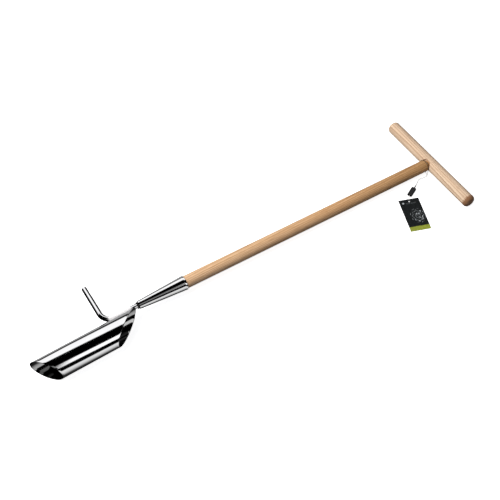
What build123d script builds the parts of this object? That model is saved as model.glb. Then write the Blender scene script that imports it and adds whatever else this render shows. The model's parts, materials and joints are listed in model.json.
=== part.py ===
from build123d import *
import os
from math import asin, atan, cos, hypot, pi, radians, sin, tan

os.makedirs("parts", exist_ok=True)

# Long-handled bulb planter, lying on its side on a floor at Z = 0. Millimetres.
# Stations "u" run along the shaft's axis from the head (minus) to the grip (plus).
# "v" runs across, from the coring tube to the foot peg; "w" is up out of the tool's plane.

# Coring tube: a round tube cut aslant at both ends, so that its back is the longest wall
TUBE_R = 30.0
TUBE_WALL = 2.0
TUBE_TILT = 2.35  # degrees between the tube's axis and the shaft's
LOWER_CUT = -220.4  # station where the lower cut crosses the tube's axis
LOWER_LEAN = 22.6  # half the length of the lower cut along the tube
UPPER_CUT = -33.1
UPPER_LEAN = 37.15
EDGE_BREAK = 0.4

# Foot rod: one round bar, welded along the tube's back and bent out as the foot peg
ROD_R = 6.0
PEG_STATION = -69.1
PEG_REACH = 100.0
PEG_BEND = 24.0
ROD_TOP = 24.0
ROD_EASE = 60.0
PEG_ROUND = 1.5
BEAD_START = -51.0
BEAD_END = 1.0
BEAD_INNER = 0.9
BEAD_OUTER = 4.6

# Socket: a tapered ferrule that holds the shaft
SOCKET_START = 11.0
SOCKET_END = 126.0
SOCKET_NECK_R = 9.35
SOCKET_WALL = 2.0
SOCKET_FLOOR = 30.0
NECK_ROUND = 2.5
LIP_ROUND = 0.5
NECK_BEAD = 4.0
NECK_BEAD_H = 2.0

# Shaft and T-grip, both round wood
SHAFT_R = 14.5
SHAFT_GAP = 1.0
SHOULDER = 799.5
SHOULDER_BEVEL = 4.5
SHOULDER_R = 13.0
TENON_R = 10.0
TENON_LENGTH = 20.0
MORTISE_GAP = 1.0
GRIP_STATION = 813.7
GRIP_R = 15.5
GRIP_LENGTH = 300.0
GRIP_ROUND = 8.0
SEAT_R = 14.7
SEAT_FLOOR = 806.0
DOWEL_R = 3.0
DOWEL_STATION = 811.0
DOWEL_TOP = 9.5
DOWEL_FACE = -15.2

# Nail that pins the shaft in its socket, on the side that faces the floor
NAIL_STATION = 104.0
NAIL_R = 1.6
NAIL_LENGTH = 22.0
NAIL_HEAD_R = 3.6
NAIL_HEAD_H = 1.6
NAIL_SEAT = 15.4
NAIL_POINT = 3.2
NAIL_POINT_INSET = 1.28
NAIL_DOME = 1.28

# Swing tag: a card on a string with a plastic seal, lying beside the shaft's upper end
STRING_R = 0.45
STRAND_SIDE = 0.6
STEM_CLEARANCE = 0.35
LOOP_STATION = 795.5
SEAL_CENTRE = (726.2, -41.8)
SEAL_ANGLE = 26.8
SEAL_SIZE = (28.0, 12.0, 5.0)
SEAL_ROUND = 1.2
NOTCH_WIDTH = 4.4
NOTCH_DEPTH = 3.6
PIVOT_INSET = 1.6  # how far the card's string pivots inside the seal's end
STEM_R = 1.5
STEM_TIP_R = 1.15
STEM_LENGTH = 9.0
CARD_CENTRE = (689.0, -100.0)
CARD_ANGLE = 70.5
CARD_SIZE = (50.0, 95.0, 0.5)
CARD_ROUND = 1.0
CARD_LIFT = 1.45  # the string under the card holds its top edge off the floor
HOLE_R = 2.5
HOLE_INSET = 7.0

# The tool lies on the tube's upper rim and on the grip, so its plane leans down to the grip
span = GRIP_STATION - UPPER_CUT
pitch = atan(TUBE_R / span) - asin(GRIP_R / hypot(span, TUBE_R))
tilt = radians(TUBE_TILT)
tube_offset = TUBE_R + ROD_R
tool_z = TUBE_R * cos(pitch) + UPPER_CUT * sin(pitch)
tip_swing = hypot(cos(pitch) * (LOWER_LEAN * cos(tilt) + TUBE_R * sin(tilt)), TUBE_R * sin(pitch))
tip_x = (LOWER_CUT * cos(tilt)) * cos(pitch) - tip_swing
grip_x = GRIP_STATION * cos(pitch) + GRIP_R
tool_x = -(tip_x + grip_x) / 2

tool = Plane(
    origin=(tool_x, 0, tool_z),
    x_dir=(cos(pitch), 0, -sin(pitch)),
    z_dir=(sin(pitch), 0, cos(pitch)),
)
shaft_axis = Axis(tool.origin, tool.x_dir)
head = Plane(
    origin=tool.from_local_coords((0, -tube_offset, 0)),
    x_dir=tool.x_dir * cos(tilt) + tool.y_dir * sin(tilt),
    z_dir=tool.z_dir,
)


def across(frame, station):
    """The plane square to a frame's own X at a station: its x is the frame's y, its y the frame's z."""
    origin = frame.from_local_coords((station, 0, 0))
    return Plane(origin=origin, x_dir=frame.y_dir, z_dir=frame.x_dir)


def save(builder, name):
    builder.part.label = name
    export_step(builder.part, f"parts/{name}.step")


def below(station, depth):
    """A level plane under the shaft's axis at a station, facing up."""
    return Plane(
        origin=tool.from_local_coords((station, 0, -depth)),
        x_dir=tool.x_dir,
        z_dir=tool.z_dir,
    )


nail_plane = below(NAIL_STATION, NAIL_SEAT)
dowel_plane = below(DOWEL_STATION, GRIP_R)
dowel_depth = GRIP_R + DOWEL_TOP

# Coring tube
tube_start = LOWER_CUT - LOWER_LEAN - TUBE_WALL
tube_end = UPPER_CUT + UPPER_LEAN + TUBE_WALL
lower_plane = Plane(
    origin=head.from_local_coords((LOWER_CUT, 0, 0)),
    z_dir=head.x_dir + head.y_dir * (LOWER_LEAN / TUBE_R),
)
upper_plane = Plane(
    origin=head.from_local_coords((UPPER_CUT, 0, 0)),
    z_dir=head.x_dir - head.y_dir * (UPPER_LEAN / TUBE_R),
)
with BuildPart() as coring_tube:
    with BuildSketch(across(head, tube_start)):
        Circle(TUBE_R)
        Circle(TUBE_R - TUBE_WALL, mode=Mode.SUBTRACT)
    extrude(amount=tube_end - tube_start)
    split(bisect_by=lower_plane, keep=Keep.TOP)
    split(bisect_by=upper_plane, keep=Keep.BOTTOM)
    rims = coring_tube.faces().filter_by(GeomType.PLANE)
    chamfer(rims.edges(), EDGE_BREAK)
save(coring_tube, "coring_tube")

# Foot rod: down the shaft's axis out of the socket, along the tube's back, then out square
ease_station = -tube_offset * tan(tilt / 2)
peg_drop = (PEG_STATION - ease_station) * tan(tilt)
with BuildPart() as foot_rod:
    with BuildLine(tool) as rod_path:
        FilletPolyline(
            (ROD_TOP, 0),
            (ease_station, 0),
            (PEG_STATION, peg_drop),
            (PEG_STATION, PEG_REACH),
            radius=[ROD_EASE, PEG_BEND],
        )
    with BuildSketch(across(tool, ROD_TOP)):
        Circle(ROD_R)
    sweep(path=rod_path.line)
    fillet(foot_rod.faces().sort_by(Axis.Y)[-1].edges(), PEG_ROUND)
save(foot_rod, "foot_rod")

# Weld beads in the two cusps between rod and tube
for side, name in ((1, "rod_weld_upper"), (-1, "rod_weld_lower")):
    with BuildPart() as rod_weld:
        with BuildSketch(across(head, BEAD_START)):
            with Locations((TUBE_R, side * (BEAD_INNER + BEAD_OUTER) / 2)):
                Rectangle(ROD_R, BEAD_OUTER - BEAD_INNER)
            Circle(TUBE_R, mode=Mode.SUBTRACT)
            with Locations((tube_offset, 0)):
                Circle(ROD_R, mode=Mode.SUBTRACT)
        extrude(amount=BEAD_END - BEAD_START)
    save(rod_weld, name)

# Socket
mouth_r = SHAFT_R + SOCKET_WALL
taper = (mouth_r - SOCKET_NECK_R) / (SOCKET_END - SOCKET_START)
floor_r = SOCKET_NECK_R + taper * (SOCKET_FLOOR - SOCKET_START) - SOCKET_WALL
with BuildPart() as socket:
    with BuildSketch(tool):
        with BuildLine():
            Polyline(
                (SOCKET_START, ROD_R),
                (SOCKET_START, SOCKET_NECK_R),
                (SOCKET_END, mouth_r),
                (SOCKET_END, SHAFT_R),
                (SOCKET_FLOOR, floor_r),
                (SOCKET_FLOOR, 0),
                (ROD_TOP, 0),
                (ROD_TOP, ROD_R),
                (SOCKET_START, ROD_R),
            )
        make_face()
    revolve(axis=shaft_axis)
    neck_edges = socket.edges().filter_by(GeomType.CIRCLE).sort_by(shaft_axis)
    fillet(neck_edges[:2].sort_by(SortBy.RADIUS)[-1], NECK_ROUND)
    lip_edges = socket.edges().filter_by(GeomType.CIRCLE).sort_by(shaft_axis)
    fillet(lip_edges[-2:].sort_by(SortBy.RADIUS)[-1], LIP_ROUND)
    with BuildSketch(nail_plane):
        Circle(NAIL_R)
    extrude(amount=NAIL_SEAT, mode=Mode.SUBTRACT)
save(socket, "socket")

# Weld ring between the rod and the socket's neck
with BuildPart() as neck_weld:
    with BuildSketch(tool):
        with BuildLine():
            Polyline(
                (SOCKET_START, ROD_R),
                (SOCKET_START, ROD_R + NECK_BEAD_H),
                (SOCKET_START - NECK_BEAD, ROD_R),
                (SOCKET_START, ROD_R),
            )
        make_face()
    revolve(axis=shaft_axis)
save(neck_weld, "neck_weld")

# Shaft: tapered into the socket, shouldered and tenoned at the grip
start_r = floor_r + taper * SHAFT_GAP
with BuildPart() as shaft:
    with BuildSketch(tool):
        with BuildLine():
            Polyline(
                (SOCKET_FLOOR + SHAFT_GAP, 0),
                (SOCKET_FLOOR + SHAFT_GAP, start_r),
                (SOCKET_END, SHAFT_R),
                (SHOULDER - SHOULDER_BEVEL, SHAFT_R),
                (SHOULDER, SHOULDER_R),
                (SHOULDER, TENON_R),
                (SHOULDER + TENON_LENGTH, TENON_R),
                (SHOULDER + TENON_LENGTH, 0),
                (SOCKET_FLOOR + SHAFT_GAP, 0),
            )
        make_face()
    revolve(axis=shaft_axis)
    with BuildSketch(nail_plane):
        Circle(NAIL_R)
    extrude(amount=NAIL_LENGTH, mode=Mode.SUBTRACT)
    with BuildSketch(dowel_plane):
        Circle(DOWEL_R)
    extrude(amount=dowel_depth, mode=Mode.SUBTRACT)
save(shaft, "shaft")

# T-grip: a round bar with a blind mortise, in a round recess that the shaft's shoulder stops short of
grip_axis = Axis(tool.from_local_coords((GRIP_STATION, 0, 0)), tool.y_dir)
with BuildPart() as t_grip:
    with BuildSketch(tool):
        with Locations((GRIP_STATION + GRIP_R / 2, 0)):
            outline = Rectangle(GRIP_R, GRIP_LENGTH)
        fillet(outline.vertices().group_by(Axis.X)[-1], GRIP_ROUND)
    revolve(axis=grip_axis)
    with BuildSketch(across(tool, SEAT_FLOOR)):
        Circle(SEAT_R)
    extrude(amount=-GRIP_R, mode=Mode.SUBTRACT)
    with BuildSketch(across(tool, SHOULDER)):
        Circle(TENON_R)
    extrude(amount=TENON_LENGTH + MORTISE_GAP, mode=Mode.SUBTRACT)
    with BuildSketch(dowel_plane):
        Circle(DOWEL_R)
    extrude(amount=dowel_depth, mode=Mode.SUBTRACT)
save(t_grip, "t_grip")

# Dowel that locks the round tenon against turning, driven in from the underside
with BuildPart() as grip_dowel:
    with BuildSketch(dowel_plane.offset(GRIP_R + DOWEL_FACE)):
        Circle(DOWEL_R)
    extrude(amount=DOWEL_TOP - DOWEL_FACE)
    chamfer(grip_dowel.edges().filter_by(GeomType.CIRCLE), EDGE_BREAK)
save(grip_dowel, "grip_dowel")

# Nail with a domed head
with BuildPart() as socket_nail:
    with BuildSketch(nail_plane):
        Circle(NAIL_R)
    extrude(amount=NAIL_LENGTH)
    chamfer(socket_nail.edges().sort_by(Axis.Z)[-1], NAIL_POINT, NAIL_POINT_INSET)
    with BuildSketch(nail_plane):
        Circle(NAIL_HEAD_R)
    extrude(amount=-NAIL_HEAD_H)
    fillet(socket_nail.edges().sort_by(Axis.Z)[0], NAIL_DOME)
save(socket_nail, "socket_nail")


def floor_frame(centre, angle, height=0.0):
    """An upright frame on the floor beside the shaft, turned about Z."""
    turn = radians(angle)
    return Plane(
        origin=(tool_x + centre[0], centre[1], height),
        x_dir=(cos(turn), sin(turn), 0),
        z_dir=(0, 0, 1),
    )


def cord_path(points):
    """A cord's centreline: straight runs joined by arcs as large as the runs allow."""
    places = [Vector(*p) for p in points]
    radii = []
    for before, here, after in zip(places, places[1:], places[2:]):
        turn = (here - before).get_angle(after - here)
        shorter = min((here - before).length, (after - here).length)
        radii.append(0.45 * shorter / tan(radians(turn) / 2))
    print("cord radii", [round(r, 2) for r in radii])
    return FilletPolyline(*places, radius=radii)


def cord(points, name):
    with BuildPart() as tube:
        with BuildLine() as path:
            route = cord_path(points)
        with BuildSketch(Plane(origin=route @ 0, z_dir=route % 0)):
            Circle(STRING_R)
        sweep(path=route)
    length = route.length
    print(name, "length", round(length, 1), "volume", round(tube.part.volume, 1))
    print("section x length", round(pi * STRING_R**2 * length, 1))
    save(tube, name)


# Seal of the swing tag: a flat body with a notch for the card's string, and a stem for the loop
seal_frame = floor_frame(SEAL_CENTRE, SEAL_ANGLE)
seal_length, seal_width, seal_height = SEAL_SIZE
notch_centre = (NOTCH_DEPTH - seal_length) / 2
with BuildPart() as seal_body:
    with BuildSketch(seal_frame):
        Rectangle(seal_length, seal_width)
    extrude(amount=seal_height)
    fillet(seal_body.edges().filter_by(Axis.Z), 2 * SEAL_ROUND)
    fillet(seal_body.faces().sort_by(Axis.Z)[-1].edges(), SEAL_ROUND)
    with BuildSketch(seal_frame):
        with Locations((notch_centre, 0)):
            Rectangle(NOTCH_DEPTH, NOTCH_WIDTH)
    extrude(amount=seal_height, mode=Mode.SUBTRACT)
save(seal_body, "seal_body")

stem_height = STEM_R + STRING_R + STEM_CLEARANCE
stem_frame = floor_frame(SEAL_CENTRE, SEAL_ANGLE, stem_height)
with BuildPart() as seal_stem:
    with BuildSketch(across(stem_frame, seal_length / 2)):
        Circle(STEM_R)
    with BuildSketch(across(stem_frame, seal_length / 2 + STEM_LENGTH)):
        Circle(STEM_TIP_R)
    loft()
save(seal_stem, "seal_stem")

# String loop: from the stem along the shaft's side, under and round the shaft, and back
floor_z = STRING_R + 0.05
loop_x = tool_x + LOOP_STATION * cos(pitch)
axis_z = tool_z - LOOP_STATION * sin(pitch)
ring = axis_z - floor_z  # how far the string passes from the shaft's axis
half_side = ring * tan(radians(22.5))
strand_a = stem_frame.from_local_coords((seal_length / 2 + STEM_LENGTH, STRAND_SIDE, 0))
strand_b = stem_frame.from_local_coords((seal_length / 2 + STEM_LENGTH, -STRAND_SIDE, 0))


def by_loop(along, across_shaft, height):
    """A point by its distance along X from the loop's plane, its Y and its height."""
    return (loop_x + along, across_shaft, height)


cord(
    [
        strand_a,
        by_loop(-40.0, -25.6, 0.7),
        by_loop(-32.5, -19.2, floor_z),
        by_loop(-22.5, -18.0, floor_z),
        by_loop(-11.5, -19.8, floor_z),
        by_loop(-3.0, -18.6, floor_z),
        by_loop(0.9, -11.5, floor_z),
        by_loop(-0.2, -2.5, floor_z),
        by_loop(0.2, half_side, floor_z),
        by_loop(0.2, ring, axis_z - half_side),
        by_loop(0.0, ring, axis_z + half_side),
        by_loop(-0.1, half_side, axis_z + ring),
        by_loop(-0.2, -half_side, axis_z + ring),
        by_loop(-0.3, -ring, axis_z + half_side),
        by_loop(-0.7, -16.2, 10.5),
        by_loop(-1.9, -19.4, 2.6),
        by_loop(-7.5, -22.3, 0.55),
        by_loop(-17.0, -21.6, floor_z),
        by_loop(-28.0, -19.9, floor_z),
        by_loop(-37.0, -24.9, 0.6),
        strand_b,
    ],
    "string_loop",
)

# Card, lying on its lower edge with its upper edge held up by the string under it
card_width, card_length, card_thickness = CARD_SIZE
card_lean = asin(CARD_LIFT / card_length)
card_flat = floor_frame(CARD_CENTRE, CARD_ANGLE - 90, CARD_LIFT / 2)
card_frame = Plane(
    origin=card_flat.origin,
    x_dir=card_flat.x_dir,
    z_dir=card_flat.z_dir * cos(card_lean) - card_flat.y_dir * sin(card_lean),
)
hole_y = card_length / 2 - HOLE_INSET
with BuildPart() as tag_card:
    with BuildSketch(card_frame):
        card_outline = Rectangle(card_width, card_length)
        fillet(card_outline.vertices(), CARD_ROUND)
        with Locations((0, hole_y)):
            Circle(HOLE_R, mode=Mode.SUBTRACT)
    extrude(amount=card_thickness)
save(tag_card, "tag_card")

# The card's own string: out of the seal's notch, down through the hole and back under the card
pivot = seal_frame.from_local_coords((PIVOT_INSET - seal_length / 2, 0, 0))
hole = card_frame.from_local_coords((0, hole_y, 0))
reach = hypot(hole.X - pivot.X, hole.Y - pivot.Y)
towards = Vector(hole.X - pivot.X, hole.Y - pivot.Y, 0) / reach


def by_hole(along, height):
    """A point above the line from the pivot to the card's hole, by its distance past the hole."""
    place = Vector(pivot.X, pivot.Y, 0) + towards * (reach + along)
    return (place.X, place.Y, height)


cord(
    [
        by_hole(-reach, 2.95),
        by_hole(6.5 - reach, 3.25),
        by_hole(-6.3, 3.0),
        by_hole(-2.1, 2.66),
        by_hole(0.2, 2.58),
        by_hole(0.8, 1.54),
        by_hole(0.2, 0.5),
        by_hole(-2.1, 0.48),
        by_hole(-6.3, 0.5),
        by_hole(6.5 - reach, 0.85),
        by_hole(-reach, 1.25),
    ],
    "tag_string",
)
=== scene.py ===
# %% [markdown]
# # Long-handled bulb planter
# The tool lies on its side on a pale floor: a mirror-polished coring tube with a bent foot peg,
# a tapered socket, a round ash shaft and a cross grip, with a swing tag tied on by a string.
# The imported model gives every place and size; this lesson gives each piece its finished mesh and finish.

# %% Load the frame
import json
from math import asin, atan2, cos, pi, radians, sin, tan

import bmesh
import bpy
from mathutils import Matrix, Vector


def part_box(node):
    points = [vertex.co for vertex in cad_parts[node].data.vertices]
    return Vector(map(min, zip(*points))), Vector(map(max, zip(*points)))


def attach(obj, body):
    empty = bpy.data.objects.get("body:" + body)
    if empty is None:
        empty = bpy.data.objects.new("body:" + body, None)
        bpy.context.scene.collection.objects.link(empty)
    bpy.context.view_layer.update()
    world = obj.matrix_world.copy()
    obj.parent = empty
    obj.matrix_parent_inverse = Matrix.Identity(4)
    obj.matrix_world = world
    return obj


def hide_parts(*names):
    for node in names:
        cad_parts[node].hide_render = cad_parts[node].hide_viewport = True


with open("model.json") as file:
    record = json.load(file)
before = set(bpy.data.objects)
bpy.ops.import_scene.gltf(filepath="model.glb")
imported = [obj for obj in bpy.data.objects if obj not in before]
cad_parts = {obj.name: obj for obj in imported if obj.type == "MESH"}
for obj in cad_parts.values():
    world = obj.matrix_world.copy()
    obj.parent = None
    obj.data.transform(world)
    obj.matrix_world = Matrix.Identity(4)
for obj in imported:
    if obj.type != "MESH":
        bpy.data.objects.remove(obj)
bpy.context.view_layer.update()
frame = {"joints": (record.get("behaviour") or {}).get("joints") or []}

# %% [markdown]
# The shaft doesn't lie level, so most pieces are easiest to make along the tool's own axes: u along the
# shaft towards the grip, v across towards the foot peg, w up. The string's hinge turns about the shaft,
# so its axis and its place say exactly where those axes are.

# %% The tool's own axes
MM = 0.001
LOOP_STATION = 795.5 * MM
turn_joint = next(j for j in frame["joints"] if j["name"] == "string_turn")
fold_joint = next(j for j in frame["joints"] if j["name"] == "tag_fold")
u_dir = -Vector(turn_joint["axis"]).normalized()
v_dir = Vector((0, 1, 0))
w_dir = u_dir.cross(v_dir)
tool_origin = Vector(turn_joint["pos_m"]) - LOOP_STATION * u_dir


def axes_matrix(origin, x, y, z):
    """The matrix that carries a mesh made along its own axes to its place in the shared frame."""
    turn = Matrix((x, y, z)).transposed().to_4x4()
    return Matrix.Translation(origin) @ turn


tool_axes = axes_matrix(tool_origin, u_dir, v_dir, w_dir)

TUBE_R = 30 * MM
TUBE_WALL = 2 * MM
TUBE_TILT = radians(2.35)
ROD_R = 6 * MM
tube_offset = TUBE_R + ROD_R
head_u = u_dir * cos(TUBE_TILT) + v_dir * sin(TUBE_TILT)
head_v = v_dir * cos(TUBE_TILT) - u_dir * sin(TUBE_TILT)
head_axes = axes_matrix(tool_origin - v_dir * tube_offset, head_u, head_v, w_dir)
print("tool origin", [round(c, 4) for c in tool_origin], "shaft direction", [round(c, 4) for c in u_dir])

# %% [markdown]
# The camera comes first. It looks down at the tool from its lower end, over the tube, so it stands
# behind the tool's left and high above it. A long lens keeps the shaft's two sides nearly parallel.

# %% Camera
VIEW_AZIMUTH = radians(31.874)
VIEW_ELEVATION = radians(53.137)
VIEW_ROLL = radians(-0.088)
CAMERA_PLACE = Vector((-0.6041, -0.9731, 1.5555))
LENS, SENSOR_WIDTH = 61.18, 36.0


def linked(name, data):
    """A new object that holds the data, put in the scene."""
    thing = bpy.data.objects.new(name, data)
    bpy.context.scene.collection.objects.link(thing)
    return thing


camera_data = bpy.data.cameras.new("camera")
camera_data.lens = LENS
camera_data.sensor_width = SENSOR_WIDTH
camera_data.clip_start = 0.05
camera_data.clip_end = 60.0
camera = linked("camera", camera_data)
ahead = cos(VIEW_ELEVATION)
look = Vector((sin(VIEW_AZIMUTH) * ahead, cos(VIEW_AZIMUTH) * ahead, -sin(VIEW_ELEVATION)))
level = look.to_track_quat("-Z", "Y").to_matrix()
rolled = (level @ Matrix.Rotation(VIEW_ROLL, 3, "Z")).to_4x4()
camera.matrix_world = Matrix.Translation(CAMERA_PLACE) @ rolled
bpy.context.scene.camera = camera
print("camera looks", [round(c, 3) for c in look])

# %% [markdown]
# ## Helpers for nodes
# A finish or a Geometry Nodes tree is a chain of small boxes, and these helpers keep each chain short. A sum
# needs no tree named, because the sockets in it say which tree it is in.

# %% Node helpers
def add(tree, kind, inputs=(), **settings):
    """A node with its settings made and its inputs either filled with values or wired to sockets."""
    node = tree.nodes.new(kind)
    for key, value in settings.items():
        setattr(node, key, value)
    pairs = inputs.items() if isinstance(inputs, dict) else enumerate(inputs)
    for key, value in pairs:
        if isinstance(value, bpy.types.NodeSocket):
            tree.links.new(value, node.inputs[key])
        else:
            node.inputs[key].default_value = value
    return node


def first_of(tree, kind, inputs=(), **settings):
    """The first output of a new node."""
    return add(tree, kind, inputs, **settings).outputs[0]


def tree_of(*values):
    """The tree that a sum belongs to, found from the first socket in it."""
    return next(value for value in values if isinstance(value, bpy.types.NodeSocket)).id_data


def calc(operation, *values, clamp=False):
    tree = tree_of(*values)
    return first_of(tree, "ShaderNodeMath", values, operation=operation, use_clamp=clamp)


def plus(a, b, clamp=False):
    return calc("ADD", a, b, clamp=clamp)


def minus(a, b, clamp=False):
    return calc("SUBTRACT", a, b, clamp=clamp)


def times(a, b):
    return calc("MULTIPLY", a, b)


def ratio(a, b):
    """a / b, held between 0 and 1."""
    return calc("DIVIDE", a, b, clamp=True)


def distance(a, b):
    """How far a place is from the origin, from its two sides."""
    return calc("SQRT", plus(times(a, a), times(b, b)))


def split(vector):
    """A vector's parts, by name."""
    return add(tree_of(vector), "ShaderNodeSeparateXYZ", [vector]).outputs


def ramp(factor, stops):
    """A colour ramp from a list of (place, colour); a single number is a grey."""
    node = add(tree_of(factor), "ShaderNodeValToRGB", {"Fac": factor})
    elements = node.color_ramp.elements
    while len(elements) < len(stops):
        elements.new(1.0)
    for element, (place, colour) in zip(elements, stops):
        element.position = place
        rgb = (colour,) * 3 if isinstance(colour, (int, float)) else colour
        element.color = (*rgb, 1.0)
    return node.outputs["Color"]


def band(value, low, high, soft):
    """1 where value lies between low and high, falling to 0 over soft at each side."""
    rise = ratio(minus(value, low), soft)
    fall = ratio(minus(high, value), soft)
    return times(rise, fall)


def colour_of(value):
    return (*value, 1.0) if isinstance(value, tuple) else value


def mix(factor, first, second, blend="MIX"):
    """Two colours mixed by a factor; sockets 0, 6 and 7 are the factor and the two colours."""
    inputs = {0: factor, 6: colour_of(first), 7: colour_of(second)}
    tree = tree_of(factor, first, second)
    return add(tree, "ShaderNodeMix", inputs, data_type="RGBA", blend_type=blend).outputs[2]


def finish_for(name, settings):
    """A new material, its tree, and its one Principled shader with its constant inputs set."""
    material = bpy.data.materials.new(name)
    material.use_nodes = True
    tree = material.node_tree
    tree.nodes.clear()
    shader = add(tree, "ShaderNodeBsdfPrincipled", settings)
    add(tree, "ShaderNodeOutputMaterial", {"Surface": shader.outputs[0]})
    return material, tree, shader


def scaled(vector, factor):
    node = add(tree_of(vector), "ShaderNodeVectorMath", [vector], operation="SCALE")
    node.id_data.links.new(factor, node.inputs["Scale"])
    return node.outputs[0]


def object_place(tree, scale=(1, 1, 1)):
    """Object coordinates, stretched by a Mapping node."""
    coords = add(tree, "ShaderNodeTexCoord").outputs["Object"]
    return first_of(tree, "ShaderNodeMapping", {"Vector": coords, "Scale": scale})


def noise(place, scale, detail=3.0, rough=0.5):
    inputs = {"Vector": place, "Scale": scale, "Detail": detail, "Roughness": rough}
    return add(tree_of(place), "ShaderNodeTexNoise", inputs).outputs["Fac"]


def dress(shader, colour, roughness, height, depth, strength):
    """Wires a colour and a roughness to the shader, and a height that a Bump node turns into relief."""
    tree = shader.id_data
    inputs = {"Height": height, "Distance": depth, "Strength": strength}
    relief = first_of(tree, "ShaderNodeBump", inputs)
    for label, socket in (("Base Color", colour), ("Roughness", roughness), ("Normal", relief)):
        tree.links.new(socket, shader.inputs[label])


def mottled(name, settings, grain, tones, roughs, relief):
    """A finish mottled by one noise; grain is its scale, detail and roughness."""
    material, tree, shader = finish_for(name, settings)
    spots = noise(object_place(tree), *grain)
    dress(shader, ramp(spots, tones), ramp(spots, roughs), spots, *relief)
    return material


# %% [markdown]
# ## Mirror-polished stainless steel
# The head is bright stainless, buffed to a mirror, so what is seen is the studio in it. Two small things
# make it read as metal: faint lengthwise buffing lines, and slow clouds in its tint and its gloss.

# %% Polished steel
LENGTHWISE = (0.02, 1.0, 1.0)


def polished_steel(name, inner=False):
    """Mirror steel with lengthwise buffing lines; inner paints shade into the colour of the faces marked as
    inside.
    """
    material, tree, shader = finish_for(name, {"Metallic": 1.0})
    lines = noise(object_place(tree, LENGTHWISE), 900.0, 2.0, 0.6)
    clouds = noise(object_place(tree), 28.0, 3.0, 0.55)
    tint = ramp(clouds, [(0.3, (0.6, 0.6, 0.61)), (0.7, (0.65, 0.65, 0.65))])
    if inner:
        # Painted shade: the faces marked as inside get a dark grey colour, standing in for the shade inside
        # the tube
        inside = add(tree, "ShaderNodeAttribute", attribute_name="inside").outputs["Fac"]
        tint = mix(inside, tint, (0.3, 0.3, 0.3))
    mixed = plus(times(lines, 0.6), times(clouds, 0.4))
    dress(shader, tint, ramp(mixed, [(0.35, 0.03), (0.62, 0.075)]), lines, 0.0000015, 0.35)
    return material


steel_along = polished_steel("polished steel")
# The tube's steel carries painted shade on its inside faces
tube_steel = polished_steel("tube steel", inner=True)
print("finishes", steel_along.name, "and", tube_steel.name)

# %% [markdown]
# The welded stretch of the rod isn't a mirror. After welding it was pickled and brushed down, which leaves
# a pale satin. One material covers the whole rod: the mirror on the peg, and the satin along the weld,
# mixed by the place along the tool.

# %% Rod steel and weld steel
SATIN_FROM = tool_origin.x - 62 * MM
SATIN_TO = tool_origin.x - 3 * MM
SATIN_SIDE, SATIN_PEG_SIDE = -20 * MM, 11 * MM
MIRROR_TONE = (0.62, 0.62, 0.63)
SATIN_TONES = [(0.3, (0.83, 0.8, 0.8)), (0.65, (0.95, 0.94, 0.94))]
SATIN_ROUGHNESS = (0.42, 0.42, 0.42)

rod_finish, tree, shader = finish_for("rod steel", {})
coords = add(tree, "ShaderNodeTexCoord").outputs["Object"]
axes = split(coords)
patchy = noise(coords, 260.0, 4.0, 0.6)
wander = times(minus(patchy, 0.5), 8 * MM)
lengthwise = band(plus(axes["X"], wander), SATIN_FROM, SATIN_TO, 5 * MM)
near_weld = times(lengthwise, band(axes["Y"], SATIN_SIDE, SATIN_PEG_SIDE, 4 * MM))
colour = mix(near_weld, MIRROR_TONE, ramp(patchy, SATIN_TONES))
roughness = mix(near_weld, ramp(patchy, [(0.3, 0.03), (0.7, 0.07)]), SATIN_ROUGHNESS)
dress(shader, colour, roughness, times(patchy, near_weld), 0.00012, 0.6)
tree.links.new(minus(1.0, times(near_weld, 0.8)), shader.inputs["Metallic"])

# Weld metal is dull with a little heat tint; its near-black colour, darkest in its hollows, is painted shade
# on the beads
shaded_weld_finish = mottled(
    "weld steel", {"Metallic": 1.0}, (420.0, 4.0, 0.65),
    [(0.3, (0.02, 0.02, 0.02)), (0.5, (0.06, 0.055, 0.05)), (0.75, (0.2, 0.19, 0.18))],
    [(0.3, 0.5), (0.7, 0.26)], (0.0001, 0.5),
)
print("finishes", rod_finish.name, "and", shaded_weld_finish.name)

# %% [markdown]
# ## Ash
# Ash is a ring-porous wood: pale fibres, and in each year's ring a line of open pores that reads as a fine
# darker streak. On a turned rod the rings come to the surface as long stripes and a few stretched
# arches. The shaft is oiled and has taken a warmer brown towards the grip. The grip is paler, and one end
# has painted shade on it, over its darker end grain.

# %% Ash material
PITH_ACROSS, PITH_UP = 34 * MM, 12 * MM
RING_PULL = 24 * MM
RINGS_PER_METRE = 260.0
LATE_SHARE, PORE_SHARE = 0.7, 0.55
DRIFT = 0.35
RAGGED = 12 * MM


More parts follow.
